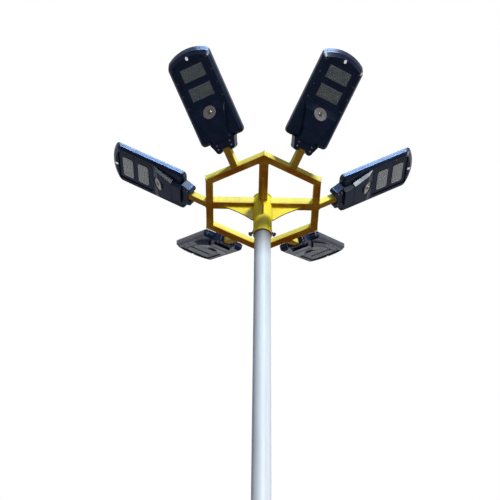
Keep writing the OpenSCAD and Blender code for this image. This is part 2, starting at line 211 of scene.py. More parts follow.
class LightPoleDetail(PropertyGroup):
    """Sizes of rounded edges, welds, lenses, trim and screws"""

    tube_round: length("Tube corner", "Outer corner radius of the square tubes", 4.5 * MM)
    plate_round: length("Plate edge", "Rounding of flame-cut plate edges", 1.2 * MM)
    casting_round: length("Casting edge", "Rounding of the lamp castings' edges", 2.2 * MM)
    bead_width: length("Weld width", "Width of a weld bead on the frame", 6.5 * MM)
    bead_pitch: length("Weld pitch", "Distance between the ripples of a weld", 3.4 * MM)
    lens_pitch: length("Lens pitch", "Distance between the small lenses of a lens plate", 11.4 * MM)
    lens_size: length("Lens size", "Diameter of one small lens", 8.4 * MM)
    lens_height: length("Lens height", "Height of one small lens", 2.2 * MM)
    trim_width: length("Trim width", "Width of the trim round the light window", 3.2 * MM)
    seam_width: length("Seam width", "Width of the gasket between the housing's halves", 3.0 * MM)
    screw_size: length("Screw head", "Diameter of a housing screw's head", 6.5 * MM)
    clamp_size: length("Clamp screw head", "Diameter of a bracket screw's head", 12 * MM)
    fine_round: length("Fine edge", "Rounding of glass, lens plates, bezels and the tube's ends", 0.8 * MM)
    window_round: length("Window corner", "Corner radius of the light window's trim", 12 * MM)
    seam_level: amount("Seam level", "Share of a housing's height from its top down to the gasket", 0.42,
                       max=1)
    cells_long: number("Cells along", "Solar cells along a panel", 6)
    cells_wide: number("Cells across", "Solar cells across a panel", 3)
    seed: number("Seed", "Seed of the weld ripples' variation", 4, 0)


class LightPoleStage(PropertyGroup):
    """Lights, floor and camera"""

    sun_turn: angle("Key turn", "Turn of the key light from the front towards the right", 28)
    sun_rise: angle("Key height", "Height of the key light above the horizon", 36)
    sun_size: angle("Key softness", "Angle that the key light fills", 9)
    sun_power: amount("Key strength", "Strength of the key light", 3.3)
    fill_power: amount("Fill strength", "Level of the even light from all round", 0.27)
    card_power: amount("Card strength", "Power a square metre of the cards that glossy faces reflect", 150,
                       unit="POWER")
    floor_radius: length("Floor radius", "Radius of the pale floor", 30.0)
    floor: colour("Floor", "Colour of the pale floor", (250, 244, 234))
    eye: FloatVectorProperty(name="Camera place", description="Place of the camera", size=3,
                             subtype="TRANSLATION", unit="LENGTH", default=(-0.0764, -4.0365, 1.533))
    pan: angle("Camera pan", "Turn of the camera to the right", 0.148)
    pitch: angle("Camera pitch", "Upward pitch of the camera", 45.29)
    roll: angle("Camera roll", "Roll of the camera", 0.961)
    lens: amount("Lens", "Focal length in millimetres", 77.7, 1)


def finish():
    """The colours, as they are set."""
    return bpy.context.scene.light_pole_finish


def detail():
    """The sizes, as they are set."""
    return bpy.context.scene.light_pole_detail


# --- Node building ---


def put(tree, kind, inputs=None, **settings):
    """Adds a node; an input is a plain value or another node's socket."""
    made = tree.nodes.new(kind)
    for key, value in settings.items():
        setattr(made, key, value)
    for key, value in (inputs or {}).items():
        if isinstance(value, bpy.types.NodeSocket):
            tree.links.new(value, made.inputs[key])
        else:
            made.inputs[key].default_value = value
    return made


def place_in(tree):
    """A point's place, in metres."""
    return put(tree, "ShaderNodeTexCoord").outputs["Object"]


def height_in(tree):
    """Height above the ground, in metres."""
    return put(tree, "ShaderNodeSeparateXYZ", {0: place_in(tree)}).outputs["Z"]


def maths(tree, operation, a, b=0.0, clamp=False):
    """One step of arithmetic; a and b are plain values or sockets."""
    return put(tree, "ShaderNodeMath", {0: a, 1: b}, operation=operation, use_clamp=clamp).outputs[0]


def times(tree, a, b, clamp=False):
    return maths(tree, "MULTIPLY", a, b, clamp)


def larger(tree, a, b):
    return maths(tree, "MAXIMUM", a, b)


def blend(tree, share, a, b):
    """Mixes two colours."""
    return put(tree, "ShaderNodeMix", {0: share, 6: a, 7: b}, data_type="RGBA").outputs[2]


def between(tree, share, a, b):
    """Mixes two plain values."""
    return put(tree, "ShaderNodeMix", {0: share, 2: a, 3: b}, data_type="FLOAT").outputs[0]


def ramp(tree, value, low, high):
    """Spreads a value's range low..high over 0..1."""
    return put(tree, "ShaderNodeMapRange", {"Value": value, "From Min": low, "From Max": high}).outputs[0]


def noise(tree, place, scale, fine):
    return put(tree, "ShaderNodeTexNoise", {"Vector": place, "Scale": scale, "Detail": fine}).outputs[0]


def group(name, kind, inputs, outputs):
    """A node group with named inputs (name, socket, default) and outputs (name, socket)."""
    tree = bpy.data.node_groups.new(name, kind)
    for label, socket, default in inputs:
        made = tree.interface.new_socket(name=label, in_out="INPUT", socket_type=socket)
        if default is not None:
            made.default_value = default
    for label, socket in outputs:
        tree.interface.new_socket(name=label, in_out="OUTPUT", socket_type=socket)
    return tree, tree.nodes.new("NodeGroupInput").outputs, tree.nodes.new("NodeGroupOutput").inputs


SHARED = {}


def shared(maker):
    """A node group by its maker, built the first time it is asked for."""
    if maker.__name__ not in SHARED:
        SHARED[maker.__name__] = maker()
    return SHARED[maker.__name__]


def effect(tree, maker, **values):
    """Puts a shared effect in a material; values are its inputs by name, with _ for a space."""
    made = put(tree, "ShaderNodeGroup", node_tree=shared(maker))
    for key, value in values.items():
        made.inputs[key.replace("_", " ")].default_value = value
    return made.outputs


# --- Effects that several finishes share ---

FLOAT, GEOMETRY, MATERIAL = "NodeSocketFloat", "NodeSocketGeometry", "NodeSocketMaterial"


def edge_wear():
    """Mask along outer edges, where paint is thin or gone."""
    tree, given, out = group("Edge wear", "ShaderNodeTree",
                             [("Reach", FLOAT, 0.003), ("Strength", FLOAT, 1.0), ("Breakup", FLOAT, 60.0)],
                             [("Mask", FLOAT)])
    rounded = put(tree, "ShaderNodeBevel", {"Radius": given["Reach"]}, samples=6).outputs[0]
    flat = put(tree, "ShaderNodeNewGeometry").outputs["Normal"]
    same = put(tree, "ShaderNodeVectorMath", {0: rounded, 1: flat}, operation="DOT_PRODUCT").outputs["Value"]
    edge = times(tree, maths(tree, "SUBTRACT", 1.0, same), 9.0, True)
    broken = ramp(tree, noise(tree, place_in(tree), given["Breakup"], 5.0), 0.42, 0.62)
    tree.links.new(times(tree, times(tree, edge, broken), given["Strength"], True), out["Mask"])
    return tree


def weather():
    """Soft blotches, runs down the surface, and the faces that look down or up."""
    tree, given, out = group("Weather", "ShaderNodeTree", [("Scale", FLOAT, 6.0), ("Runs", FLOAT, 40.0)],
                             [("Blotches", FLOAT), ("Runs", FLOAT), ("Under", FLOAT), ("Upper", FLOAT)])
    place = place_in(tree)
    blotches = ramp(tree, noise(tree, place, given["Scale"], 4.0), 0.35, 0.66)
    drawn = put(tree, "ShaderNodeMapping", {"Vector": place, "Scale": (1.0, 1.0, 0.06)}).outputs[0]
    runs = ramp(tree, noise(tree, drawn, given["Runs"], 3.0), 0.48, 0.72)
    rise = put(tree, "ShaderNodeSeparateXYZ",
               {0: put(tree, "ShaderNodeNewGeometry").outputs["Normal"]}).outputs["Z"]
    # Faces that look down; the frame paint darkens them with this mask as painted shade.
    under = ramp(tree, times(tree, rise, -1.0), 0.25, 0.95)
    upper = times(tree, ramp(tree, rise, 0.3, 0.95), blotches)
    for label, value in (("Blotches", blotches), ("Runs", runs), ("Under", under), ("Upper", upper)):
        tree.links.new(value, out[label])
    return tree


def corner_shade():
    """Painted shade: mask in inner corners, read from ambient occlusion, where little light reaches."""
    tree, given, out = group("Corner grime", "ShaderNodeTree",
                             [("Reach", FLOAT, 0.05), ("Strength", FLOAT, 1.0)], [("Mask", FLOAT)])
    open_sky = put(tree, "ShaderNodeAmbientOcclusion", {"Distance": given["Reach"]}, samples=6).outputs["AO"]
    broken = ramp(tree, noise(tree, place_in(tree), 28.0, 4.0), 0.25, 0.6)
    closed = ramp(tree, maths(tree, "SUBTRACT", 1.0, open_sky), 0.25, 0.95)
    tree.links.new(times(tree, times(tree, closed, broken), given["Strength"], True), out["Mask"])
    return tree


def fine_grain():
    """Height of a fine surface texture: orange peel in paint, or the bite of a casting."""
    tree, given, out = group("Fine grain", "ShaderNodeTree",
                             [("Scale", FLOAT, 400.0), ("Swell", FLOAT, 40.0)], [("Height", FLOAT)])
    place = place_in(tree)
    fine = noise(tree, place, given["Scale"], 2.0)
    swell = noise(tree, place, given["Swell"], 2.0)
    tree.links.new(maths(tree, "ADD", times(tree, fine, 0.5), swell), out["Height"])
    return tree


def cell_grid():
    """Solar cells on a panel's own map: gaps between cells, silver lines and a shade for each cell."""
    tree, given, out = group(
        "Cell grid", "ShaderNodeTree",
        [("Cells along", FLOAT, 6.0), ("Cells across", FLOAT, 3.0), ("Gap", FLOAT, 0.03)],
        [("Gap", FLOAT), ("Lines", FLOAT), ("Shade", FLOAT)])
    flat = put(tree, "ShaderNodeUVMap", uv_map="Panel").outputs[0]
    axes = put(tree, "ShaderNodeSeparateXYZ", {0: flat}).outputs
    along = times(tree, axes["X"], given["Cells along"])
    across = times(tree, axes["Y"], given["Cells across"])

    def from_edge(value):
        """Distance to the nearer whole number."""
        part = maths(tree, "FRACT", value)
        return maths(tree, "MINIMUM", part, maths(tree, "SUBTRACT", 1.0, part))

    def line(value, lines, width):
        """1 on evenly spaced lines, so many to a cell."""
        return maths(tree, "LESS_THAN", from_edge(times(tree, value, lines)), width)

    gap = larger(tree, maths(tree, "LESS_THAN", from_edge(along), given["Gap"]),
                 maths(tree, "LESS_THAN", from_edge(across), given["Gap"]))
    lines = larger(tree, line(maths(tree, "ADD", across, 0.25), 2.0, 0.03),
                   times(tree, line(along, 28.0, 0.10), 0.35))
    cell = put(tree, "ShaderNodeCombineXYZ",
               {0: maths(tree, "FLOOR", along), 1: maths(tree, "FLOOR", across)}).outputs[0]
    shade = put(tree, "ShaderNodeTexWhiteNoise", {"Vector": cell}, noise_dimensions="3D").outputs["Value"]
    for label, value in (("Gap", gap), ("Lines", lines), ("Shade", shade)):
        tree.links.new(value, out[label])
    return tree


# --- Finishes ---

# Colours of dirt, wear, painted shade, small parts and the light about them
RUN_GREY = tone(150, 152, 156)
# Grey of the pole's painted shade, below the hub sleeve and in inner corners.
HUB_SHADE_GREY = tone(98, 94, 86)
CASTING_DUST = tone(120, 118, 112)
CASTING_EDGE = tone(84, 96, 122)
PLASTIC_FILM = tone(150, 140, 112)
MILK_WHITE = tone(226, 228, 232)
MILK_GLOW = tone(236, 240, 246)
TARNISH = tone(84, 58, 40)
BARE_STEEL = tone(170, 168, 165)
CELL_LINE = tone(112, 124, 150)
CELL_GAP = tone(96, 106, 128)
GLASS_DUST = tone(160, 152, 138)
EYE_BLACK = tone(38, 37, 44)
GASKET_BLACK = tone(12, 12, 14)
SCREW_BLACK = tone(34, 36, 42)
FLOOR_BOUNCE = tone(132, 104, 74)
SKY_TINT = tone(190, 214, 252)
WHITE = (1.0, 1.0, 1.0, 1.0)


def solid(chip):
    """A colour with full cover."""
    return (*chip, 1.0)


def toned(chip, share, lift=0.0):
    """A colour made darker or paler by a share, and then lifted."""
    return solid([min(1, c * share + lift) for c in chip])


def new_finish(name, gloss=0.5, tint=(255, 255, 255)):
    """An empty material; returns it with its tree and its Principled shader."""
    material = bpy.data.materials.new(name)
    material.use_nodes = True
    tree = material.node_tree
    shader = tree.nodes["Principled BSDF"]
    shader.inputs["Specular IOR Level"].default_value = gloss
    shader.inputs["Specular Tint"].default_value = solid(tone(*tint))
    return material, tree, shader


def surfaced(tree, shader, shade, dull, low, high, height, strength, depth):
    """Links a finish's colour, its roughness from low to high by a mask, and its fine relief."""
    tree.links.new(shade, shader.inputs["Base Color"])
    tree.links.new(between(tree, dull, low, high), shader.inputs["Roughness"])
    bump = put(tree, "ShaderNodeBump", {"Height": height, "Strength": strength, "Distance": depth})
    tree.links.new(bump.outputs[0], shader.inputs["Normal"])


def frame_paint(name, yellow, shade_fade):
    """Yellow gloss paint: blotched, with painted shade that darkens it to a deep yellow towards a tube's
    lower edge, painted shade in brown on faces that look down and in inner corners, dirty runs down it, and
    rust at worn edges.
    """
    material, tree, shader = new_finish(name, 0.012)
    worn = effect(tree, edge_wear, Reach=2.5 * MM, Strength=0.5, Breakup=70.0)["Mask"]
    aged = effect(tree, weather, Scale=9.0, Runs=55.0)
    # Painted shade in brown in the frame's inner corners.
    nook_shade = effect(tree, corner_shade, Reach=0.12, Strength=0.85)["Mask"]
    grain = effect(tree, fine_grain, Scale=700.0, Swell=60.0)["Height"]
    shade = blend(tree, aged["Blotches"], toned(yellow, 0.93), toned(yellow, 1.03, 0.02))
    # Painted shade: below the ring's middle the paint darkens to the deep yellow, most at a tube's lower edge
    # and below it.
    lower = times(tree, ramp(tree, height_in(tree), RING_Z - 3 * MM, RING_LOW),
                  between(tree, aged["Blotches"], shade_fade, shade_fade * 0.25))
    shade = blend(tree, lower, shade, solid(finish().shade_ochre))
    # Painted shade: faces that look down turn brown; the runs are dirty streaks in the same brown.
    shade_film = times(tree, aged["Under"], between(tree, aged["Blotches"], 0.9, 0.66))
    runs = times(tree, aged["Runs"], 0.1)
    shade = blend(tree, larger(tree, shade_film, runs), shade, solid(finish().grime_and_shade))
    shade = blend(tree, nook_shade, shade, solid(finish().grime_and_shade))
    shade = blend(tree, worn, shade, solid(finish().rust))
    dull = larger(tree, larger(tree, worn, nook_shade), times(tree, aged["Blotches"], 0.4))
    surfaced(tree, shader, shade, dull, 0.42, 0.66, grain, 0.25, 0.5 * MM)
    return material


def pole_paint():
    """White paint of the pole and base, with faint grey runs, and painted shade in grey in its inner corners
    and in a band just below the hub sleeve, where the hub's shadow falls.
    """
    material, tree, shader = new_finish("Pole white paint", 0.1)
    worn = effect(tree, edge_wear, Reach=2.0 * MM, Strength=0.5, Breakup=50.0)["Mask"]
    aged = effect(tree, weather, Scale=4.0, Runs=36.0)
    # Painted shade in grey in the pole's inner corners.
    nook_shade = effect(tree, corner_shade, Reach=0.05, Strength=0.55)["Mask"]
    grain = effect(tree, fine_grain, Scale=600.0, Swell=30.0)["Height"]
    white = finish().white
    shade = blend(tree, aged["Blotches"], toned(white, 0.95), solid(white))
    shade = blend(tree, times(tree, aged["Runs"], 0.14), shade, solid(RUN_GREY))
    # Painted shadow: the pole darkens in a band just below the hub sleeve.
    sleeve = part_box("hub_sleeve")[0].z
    sleeve_shadow = times(tree, ramp(tree, height_in(tree), sleeve - 0.2, sleeve - 0.01),
                   between(tree, aged["Runs"], 0.75, 1.0))
    shade = blend(tree, larger(tree, nook_shade, sleeve_shadow), shade, solid(HUB_SHADE_GREY))
    shade = blend(tree, worn, shade, solid(finish().rust))
    surfaced(tree, shader, shade, aged["Blotches"], 0.4, 0.5, grain, 0.2, 0.5 * MM)
    return material


def casting_finish():
    """Dark powder coat of the lamp castings, glossy, a little dusty on top and paler on its edges."""
    material, tree, shader = new_finish("Lamp casting", 0.16, (176, 206, 255))
    worn = effect(tree, edge_wear, Reach=2.0 * MM, Strength=0.55, Breakup=90.0)["Mask"]
    aged = effect(tree, weather, Scale=14.0, Runs=60.0)
    grain = effect(tree, fine_grain, Scale=900.0, Swell=90.0)["Height"]
    base = finish().casting
    shade = blend(tree, aged["Blotches"], solid(base), toned(base, 1.5, 0.003))
    shade = blend(tree, times(tree, aged["Upper"], 0.25), shade, solid(CASTING_DUST))
    shade = blend(tree, worn, shade, solid(CASTING_EDGE))
    surfaced(tree, shader, shade, aged["Blotches"], 0.28, 0.38, grain, 0.05, 0.4 * MM)
    return material


def lens_finish(name, chip, rough, clear=None):
    """Moulded plastic, faintly speckled, under a clear coat; a ribbed lens, without a value for the coat,
    is glossier where it is looked at aslant."""
    material, tree, shader = new_finish(name, 0.4, (186, 212, 255))
    aged = effect(tree, weather, Scale=30.0, Runs=80.0)
    grain = effect(tree, fine_grain, Scale=1200.0, Swell=160.0)["Height"]
    speck = ramp(tree, noise(tree, place_in(tree), 260.0, 2.0), 0.4, 0.62)
    shade = blend(tree, speck, toned(chip, 0.72), toned(chip, 1.3))
    shade = blend(tree, times(tree, aged["Blotches"], 0.3), shade, solid(PLASTIC_FILM))
    surfaced(tree, shader, shade, aged["Blotches"], rough, rough + 0.12, grain, 0.15, 0.3 * MM)
    shader.inputs["Coat Roughness"].default_value = 0.12
    if clear is None:
        facing = put(tree, "ShaderNodeLayerWeight", {"Blend": 0.5}).outputs["Facing"]
        side = maths(tree, "MINIMUM", ramp(tree, facing, 0.1, 0.46), ramp(tree, facing, 0.74, 0.6))
        tree.links.new(side, shader.inputs["Coat Weight"])
        shader.inputs["Coat IOR"].default_value = 2.6
    else:
        shader.inputs["Coat Weight"].default_value = clear
    return material


def indicator_finish():
    """Milky window of the indicator light, faintly lit from inside."""
    material = lens_finish("Indicator window", MILK_WHITE, 0.3, 0.5)
    shader = material.node_tree.nodes["Principled BSDF"]
    shader.inputs["Emission Color"].default_value = solid(MILK_GLOW)
    shader.inputs["Emission Strength"].default_value = 0.5
    return material


def metal_finish(name, chip, rough, metallic):
    """Bolts, nuts and screws: dull metal with brown tarnish in patches."""
    material, tree, shader = new_finish(name)
    worn = effect(tree, edge_wear, Reach=1.0 * MM, Strength=0.3, Breakup=120.0)["Mask"]
    aged = effect(tree, weather, Scale=60.0, Runs=90.0)
    grain = effect(tree, fine_grain, Scale=1500.0, Swell=200.0)["Height"]
    shade = blend(tree, times(tree, aged["Blotches"], 0.4), solid(chip), solid(TARNISH))
    shade = blend(tree, worn, shade, solid(BARE_STEEL))
    surfaced(tree, shader, shade, aged["Blotches"], rough, rough + 0.2, grain, 0.2, 0.3 * MM)
    shader.inputs["Metallic"].default_value = metallic
    return material


def panel_finish():
    """Glass over blue-black solar cells with silver lines."""
    material, tree, shader = new_finish("Solar panel", 0.2, (150, 186, 255))
    grid = effect(tree, cell_grid, Cells_along=float(detail().cells_long),
                  Cells_across=float(detail().cells_wide), Gap=0.022)
    aged = effect(tree, weather, Scale=12.0, Runs=60.0)
    base = finish().cell
    shade = blend(tree, grid["Shade"], toned(base, 0.75), toned(base, 1.5))
    shade = blend(tree, grid["Lines"], shade, solid(CELL_LINE))
    shade = blend(tree, grid["Gap"], shade, solid(CELL_GAP))
    shade = blend(tree, times(tree, aged["Upper"], 0.12), shade, solid(GLASS_DUST))
    relief = larger(tree, grid["Gap"], grid["Lines"])
    surfaced(tree, shader, shade, aged["Blotches"], 0.22, 0.34, relief, 0.1, 0.2 * MM)
    shader.inputs["Coat Weight"].default_value = 0.7
    shader.inputs["Coat Roughness"].default_value = 0.06
    return material


FINISH_OF = {
    # The last number sets how strongly painted shade darkens the lower edges: much on the frame, little on
    # the hub.
    "frame": lambda: frame_paint("Frame yellow paint", finish().yellow, 0.6),
    "hub": lambda: frame_paint("Hub yellow paint", finish().hub_yellow, 0.1),
    "pole": pole_paint,
    "casting": casting_finish,
    "panel": panel_finish,
    "lens": lambda: lens_finish("Lens plate", finish().lens, 0.35),
    "lenslet": lambda: lens_finish("Small lenses", [c * 1.25 for c in finish().lens], 0.34),
    "bezel": lambda: lens_finish("Sensor bezel", finish().sensor, 0.3, 0.4),
    "eye": lambda: lens_finish("Sensor eye", EYE_BLACK, 0.2, 0.6),
    "indicator": indicator_finish,
    "gasket": lambda: lens_finish("Rim gasket", GASKET_BLACK, 0.6, 0.0),
    "bolt": lambda: metal_finish("Bolt steel", finish().steel, 0.42, 0.85),
    "screw": lambda: metal_finish("Screw steel", SCREW_BLACK, 0.5, 0.3),
}
MADE = {}


def coat(name):
    """A finish by name, built the first time it is asked for."""
    if name not in MADE:
        MADE[name] = FINISH_OF[name]()
    return MADE[name]


# --- Mesh building ---


def copy_of(node):
    """A CAD node's solids as one clean mesh: doubles merged, flat faces joined."""
    work = bmesh.new()
    work.from_mesh(NODES[node].data)
    bmesh.ops.remove_doubles(work, verts=work.verts, dist=SAME)
    bmesh.ops.dissolve_limit(work, angle_limit=math.radians(0.4), verts=work.verts, edges=work.edges)
    return work


def round_edges(work, radius, segments=3, sharper=30, wanted=lambda edge: True):
    """Rounds the outer edges that are sharper than an angle and pass a test."""
    edges = [e for e in work.edges if len(e.link_faces) == 2 and e.is_convex
             and math.degrees(e.calc_face_angle(0)) > sharper and wanted(e)]
    bmesh.ops.bevel(work, geom=edges, offset=radius, offset_type="OFFSET", segments=segments, profile=0.5,
                    affect="EDGES", clamp_overlap=True)


def to_mesh(work, name, *coats, place=None):
    """Ends a bmesh as a mesh in its finishes, moved to its place."""
    mesh = bpy.data.meshes.new(name)
    work.to_mesh(mesh)
    work.free()
    for c in coats:
        mesh.materials.append(coat(c))
    if place is not None:
        mesh.transform(place)
    return mesh


def evaluated(obj):
    """The plain mesh that an object's modifiers make; the object itself is removed."""
    bpy.context.view_layer.update()
    seen = obj.evaluated_get(bpy.context.evaluated_depsgraph_get())
    mesh = bpy.data.meshes.new_from_object(seen)
    mesh.name = obj.name
    old = obj.data
    bpy.data.objects.remove(obj)
    bpy.data.meshes.remove(old)
    return mesh


def shaded(mesh, angle=40):
    """Smooth shading inside an angle, weighted so that flat faces stay flat."""
    work = bmesh.new()
    work.from_mesh(mesh)
    for face in work.faces:
        face.smooth = True
    for edge in work.edges:
        edge.smooth = len(edge.link_faces) == 2 and math.degrees(edge.calc_face_angle(0)) <= angle
    work.to_mesh(mesh)
    work.free()
    obj = bpy.data.objects.new(mesh.name, mesh)
    bpy.context.scene.collection.objects.link(obj)
    weigh = obj.modifiers.new("Flat faces stay flat", "WEIGHTED_NORMAL")
    weigh.keep_sharp = True
    weigh.weight = 90  # how far large faces outweigh small ones, where 50 is even
    return evaluated(obj)


def piece(name, mesh, slot, *nodes):
    """A finished piece: it rides on the pole and stands for its CAD nodes, which it hides; the slot argument
    is not used.
    """
    mesh.name = name
    obj = bpy.data.objects.new(name, mesh)
    bpy.context.scene.collection.objects.link(obj)
    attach(obj, "root")
    if nodes:
        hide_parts(*nodes)
    return obj


def keep_cards_off(obj):
    """Takes the cards out of a piece's reflections: flat glass would turn white, small lenses sparkle."""
    spared = bpy.data.collections[NO_CARDS]
    spared.objects.link(obj)
    for member in spared.collection_objects:
        member.light_linking.link_state = "EXCLUDE"


def merged(meshes, name):
    """Several meshes in the same finishes as one."""
    work = bmesh.new()
    for mesh in meshes:
        work.from_mesh(mesh)
    whole = bpy.data.meshes.new(name)
    work.to_mesh(whole)
    work.free()
    for m in meshes[0].materials:
        whole.materials.append(m)
    return whole


def placed(mesh, matrix):
    """A copy of a mesh at a place."""
    made = mesh.copy()
    made.transform(matrix)
    return made


def lamp_solid(part):
    """One of the right-hand lamp's solids, in the lamp's own frame."""
    work = copy_of(f"lamp_right_{part}")
    work.transform(LAMP.inverted())
    return work


def on_lamp(place, name, mesh, slot, *parts):
    """A finished piece of one lamp; mesh is in the lamp's own frame, parts are the solids it stands for."""
    nodes = [f"lamp_{place}_{part}" for part in parts]
    return piece(f"lamp_{place}_{name}", placed(mesh, LAMP_AT[place]), slot, *nodes)


def ring_of(radius, height, count=72):
    """Points round the Z axis, at one radius or at a radius for each point."""
    turns = [math.tau * i / count for i in range(count)]
    radii = np.broadcast_to(radius, count)
    return [Vector((r * math.cos(t), r * math.sin(t), height)) for r, t in zip(radii, turns)]


def skin(work, low, high):
    """Closes the band between two rings of corners."""
    for i, corner in enumerate(low):
        j = (i + 1) % len(low)
        work.faces.new((corner, low[j], high[j], high[i]))


def lathe(profile, sides, cap=True):
    """A turned shape about +Z from its outline of radius and height, from the bottom up."""
    work = bmesh.new()
    rings = [[work.verts.new(p) for p in ring_of(radius, height, sides)] for radius, height in profile]
    for low, high in zip(rings, rings[1:]):
        skin(work, low, high)
    if cap:
        work.faces.new(reversed(rings[0]))
        work.faces.new(rings[-1])
    return work


def screw_head():
    """A button head with a hexagon socket, one wide and one high, on the plane of its seat."""
    sides, top, socket, depth = 12, 0.4, 0.24, 0.24
    work = lathe([(0.5, 0.0), (0.5, 0.12), (0.44, 0.3), (0.3, top)], sides, cap=False)
    work.verts.ensure_lookup_table()
    foot, rim = work.verts[:sides], work.verts[-sides:]
    hexagon = [socket * math.cos(math.pi / 6) / math.cos((math.tau * i / sides) % (math.pi / 3) - math.pi / 6)
               for i in range(sides)]
    mouth, floor = [[work.verts.new(p) for p in ring_of(hexagon, z, sides)] for z in (top, top - depth)]
    skin(work, rim, mouth)
    skin(work, mouth, floor)
    work.faces.new(floor)
    work.faces.new(reversed(foot))
    return work


def path_mesh(paths, name):
    """Lines as a mesh of edges; a path is its points and whether it closes."""
    mesh = bpy.data.meshes.new(name)
    spots, edges = [], []
    for line, closed in paths:
        first = len(spots)
        spots += [tuple(p) for p in line]
        edges += [(first + i, first + i + 1) for i in range(len(line) - 1)]
        if closed:
            edges.append((len(spots) - 1, first))
    mesh.from_pydata(spots, edges, [])
    return mesh


# --- Geometry Nodes for what repeats or follows a line ---


def ended(tree, shape, finish_in, output, smooth=True):
    """Ends a tree: instances made real, smooth shading where it is asked for, and the finish."""
    made = put(tree, "GeometryNodeRealizeInstances", {0: shape}).outputs[0]
    if smooth:
        made = put(tree, "GeometryNodeSetShadeSmooth", {0: made}).outputs[0]
    made = put(tree, "GeometryNodeSetMaterial", {0: made, "Material": finish_in}).outputs[0]
    tree.links.new(made, output)
    return tree


def weld_tree():
    """Overlapping ripples along lines, as a hand weld leaves them."""
    tree, given, out = group("Weld bead", "GeometryNodeTree",
                             [("Lines", GEOMETRY, None), ("Width", FLOAT, 0.006), ("Pitch", FLOAT, 0.0034),
                              ("Seed", "NodeSocketInt", 4), ("Finish", MATERIAL, None)],
                             [("Bead", GEOMETRY)])
    curve = put(tree, "GeometryNodeMeshToCurve", {"Mesh": given["Lines"]}).outputs[0]
    spots = put(tree, "GeometryNodeCurveToPoints", {"Curve": curve, "Length": given["Pitch"]}, mode="LENGTH")
    drop = put(tree, "GeometryNodeMeshUVSphere", {"Segments": 7, "Rings": 5, "Radius": 0.5})
    vary = put(tree, "FunctionNodeRandomValue", {"Seed": given["Seed"]}, data_type="FLOAT")
    vary.inputs[2].default_value, vary.inputs[3].default_value = 0.82, 1.12
    wide = times(tree, given["Width"], vary.outputs[1])
    long = times(tree, given["Pitch"], 1.9)
    size = put(tree, "ShaderNodeCombineXYZ", {0: wide, 1: wide, 2: long}).outputs[0]
    beads = put(tree, "GeometryNodeInstanceOnPoints",
                {"Points": spots.outputs["Points"], "Instance": drop.outputs[0],
                 "Rotation": spots.outputs["Rotation"], "Scale": size}).outputs[0]
    return ended(tree, beads, given["Finish"], out["Bead"])


def lens_tree():
    """A grid of small domed lenses on the XY plane."""
    tree, given, out = group("Lens grid", "GeometryNodeTree",
                             [("Base", GEOMETRY, None), ("Length", FLOAT, 0.07), ("Width", FLOAT, 0.13),
                              ("Along", "NodeSocketInt", 6), ("Across", "NodeSocketInt", 11),
                              ("Lens", FLOAT, 0.0084), ("Height", FLOAT, 0.0022), ("Finish", MATERIAL, None)],
                             [("Lenses", GEOMETRY)])
    spots = put(tree, "GeometryNodeMeshGrid", {"Size X": given["Length"], "Size Y": given["Width"],
                                               "Vertices X": given["Along"], "Vertices Y": given["Across"]})
    dome = put(tree, "GeometryNodeMeshUVSphere", {"Segments": 9, "Rings": 6, "Radius": 0.5})
    tall = times(tree, given["Height"], 2.0)
    size = put(tree, "ShaderNodeCombineXYZ", {0: given["Lens"], 1: given["Lens"], 2: tall}).outputs[0]
    lenses = put(tree, "GeometryNodeInstanceOnPoints",
                 {"Points": spots.outputs[0], "Instance": dome.outputs[0], "Scale": size}).outputs[0]
    return ended(tree, lenses, given["Finish"], out["Lenses"])


def strip_tree():
    """A strip of oval section along a line that lies flat in XY."""
    tree, given, out = group("Strip along a line", "GeometryNodeTree",
                             [("Line", GEOMETRY, None), ("Width", FLOAT, 0.003), ("Height", FLOAT, 0.0012),
                              ("Finish", MATERIAL, None)], [("Strip", GEOMETRY)])
    curve = put(tree, "GeometryNodeMeshToCurve", {"Mesh": given["Line"]}).outputs[0]
    curve = put(tree, "GeometryNodeSetCurveNormal", {"Curve": curve}, mode="Z_UP").outputs[0]
    ring = put(tree, "GeometryNodeCurvePrimitiveCircle", {"Resolution": 8, "Radius": 0.5}).outputs[0]
    size = put(tree, "ShaderNodeCombineXYZ", {0: given["Width"], 1: given["Height"], 2: 1.0}).outputs[0]
    shape = put(tree, "GeometryNodeTransform", {"Geometry": ring, "Scale": size}).outputs[0]
    strip = put(tree, "GeometryNodeCurveToMesh", {"Curve": curve, "Profile Curve": shape, "Fill Caps": True})
    return ended(tree, strip.outputs[0], given["Finish"], out["Strip"])


def screw_tree():
    """A screw head on each point, along the point's own direction."""
    tree, given, out = group("Screws", "GeometryNodeTree",
                             [("Spots", GEOMETRY, None), ("Head", "NodeSocketObject", None),
                              ("Size", FLOAT, 0.0065), ("Finish", MATERIAL, None)], [("Screws", GEOMETRY)])
    facing = put(tree, "GeometryNodeInputNamedAttribute", {"Name": "facing"}, data_type="FLOAT_VECTOR")
    turn = put(tree, "FunctionNodeAlignRotationToVector", {"Vector": facing.outputs[0]}, axis="Z").outputs[0]
    head = put(tree, "GeometryNodeObjectInfo", {"Object": given["Head"]}).outputs["Geometry"]
    heads = put(tree, "GeometryNodeInstanceOnPoints",
                {"Points": given["Spots"], "Instance": head,
                 "Rotation": turn, "Scale": given["Size"]}).outputs[0]
    return ended(tree, heads, given["Finish"], out["Screws"], smooth=False)


def grown(name, base, maker, **values):
    """Runs a node tree on a base mesh and returns the plain mesh; values are the tree's inputs by name."""
    obj = bpy.data.objects.new(name, base)
    bpy.context.scene.collection.objects.link(obj)
    tree = shared(maker)
    nodes = obj.modifiers.new(name, "NODES")
    nodes.node_group = tree
    sockets = {s.name: s.identifier for s in tree.interface.items_tree if s.in_out == "INPUT"}
    for key, value in values.items():
        nodes[sockets[key.replace("_", " ")]] = value
    mesh = evaluated(obj)
    if not len(mesh.polygons):
        raise RuntimeError(f"{name} came out empty")
    return mesh


# --- Lines that welds follow ---


def steps(a, b, count=8):
    """Points from one value to another."""
    return [a + (b - a) * i / count for i in range(count + 1)]


